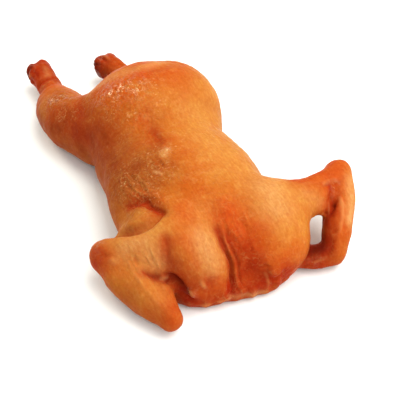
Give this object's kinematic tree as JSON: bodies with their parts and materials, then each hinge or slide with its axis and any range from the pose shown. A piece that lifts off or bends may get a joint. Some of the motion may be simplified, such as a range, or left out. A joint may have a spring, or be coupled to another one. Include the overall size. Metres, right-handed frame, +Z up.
{
  "type": "smoked whole chicken",
  "caption": "Smoked whole chicken lying on its breast with bent wings spread at the neck end and cut legs stretched back behind a rounded rump.",
  "frame": {"origin": "middle of the bounding box in plan, on the surface that the bird lies on", "axes": "+Z up, +Y towards the ends of the legs, -Y towards the neck end, +X towards the bird's own left"},
  "size_m": [0.1998, 0.3206, 0.0787],
  "materials": {
    "smoked_skin": "orange to red-brown smoked skin, satin with small glossy fat spots"
  },
  "bodies": {
    "root": {"chicken": "smoked_skin"}
  },
  "joints": []
}
